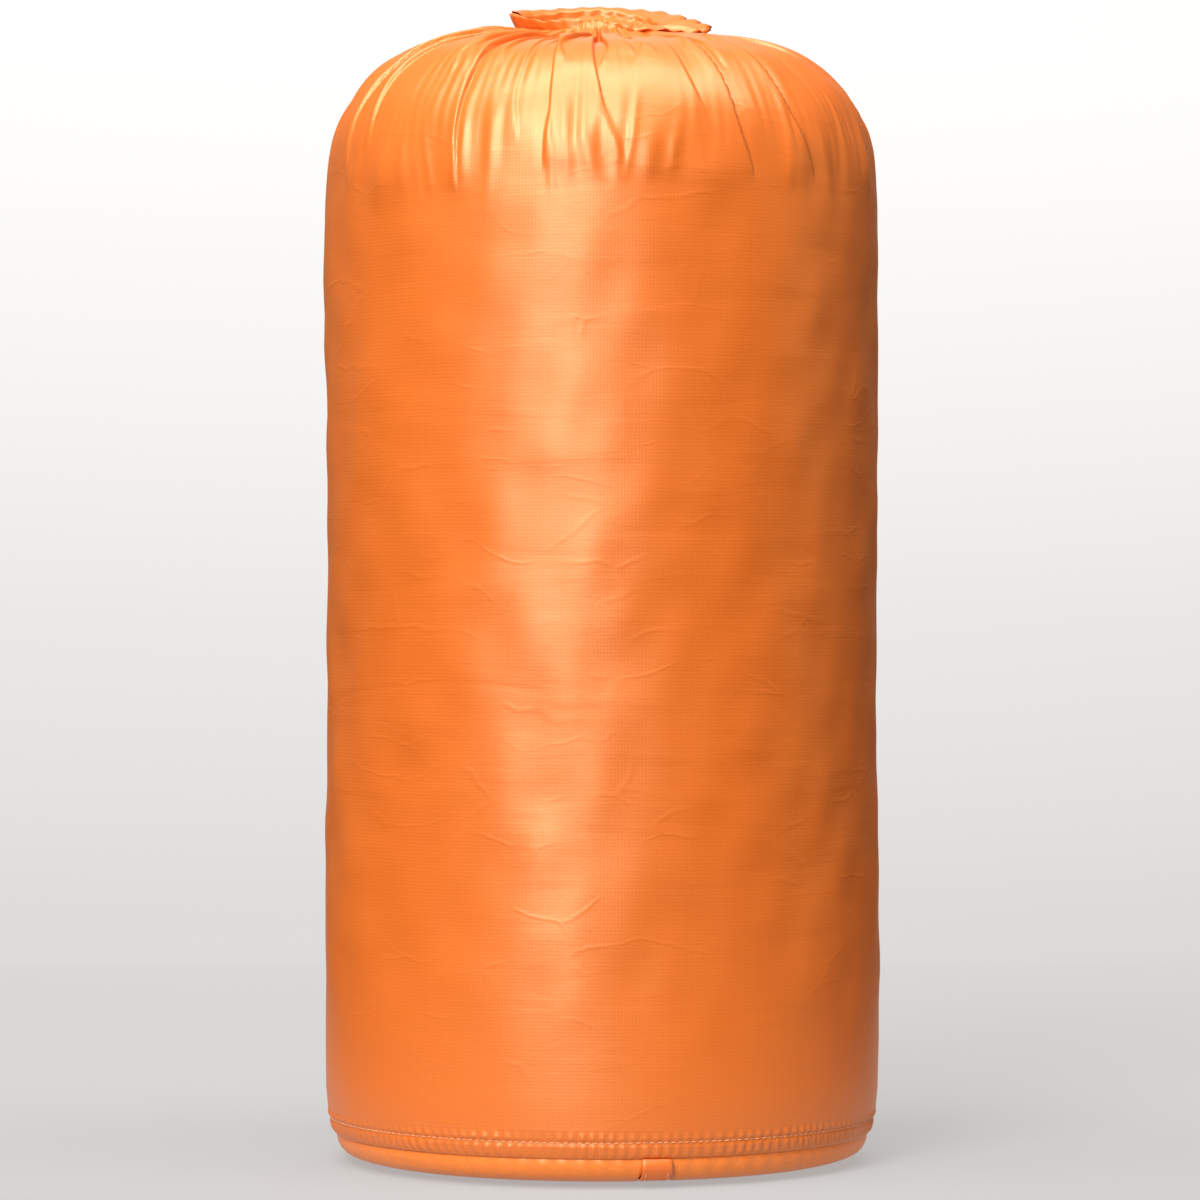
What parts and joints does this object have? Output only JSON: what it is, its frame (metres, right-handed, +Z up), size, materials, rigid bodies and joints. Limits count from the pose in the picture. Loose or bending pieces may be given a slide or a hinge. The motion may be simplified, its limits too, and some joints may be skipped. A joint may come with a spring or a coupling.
{
  "type": "stuff sack",
  "caption": "Cylindrical ripstop stuff sack standing filled out on a round base, its drawcord mouth gathered shut, with a self-fabric grab strap across the base.",
  "frame": {"origin": "centre of the round base, on the plane the sack stands on", "axes": "+Z up the sack's axis towards its mouth; -Y faces the front, where the grab strap leaves the base seam"},
  "size_m": [0.23, 0.23, 0.48],
  "materials": {
    "body_cloth": "silky coated orange ripstop",
    "base_cloth": "silky coated orange ripstop",
    "strap_cloth": "folded orange ripstop",
    "binding_tape": "matt woven tape",
    "thread": "light orange polyester thread",
    "cord": "braided cord"
  },
  "bodies": {
    "sack": {"body_panel": "body_cloth", "side_seam_fold": "body_cloth", "side_seam_stitch_left": "thread", "side_seam_stitch_right": "thread", "base_panel": "base_cloth", "base_seam_allowance": "body_cloth", "base_seam_binding": "binding_tape", "base_seam_thread": "thread", "base_topstitch": "thread", "binding_stitch": "thread", "strap_bartack_front": "thread", "strap_bartack_back": "thread"},
    "mouth": {"drawcord_hem": "body_cloth", "hem_stitch": "thread", "drawcord": "cord", "cord_exit_bartack_left": "thread", "cord_exit_bartack_right": "thread"},
    "strap": {"grab_strap": "strap_cloth", "strap_stitch_left": "thread", "strap_stitch_right": "thread"}
  },
  "joints": [
    {"name": "mouth_lift", "type": "slide", "parent": "sack", "child": "mouth", "axis": [0, 0, 1], "range_m": [0, 0.03]},
    {"name": "strap_drop", "type": "slide", "parent": "sack", "child": "strap", "axis": [0, 0, -1], "range_m": [0, 0.03]}
  ]
}
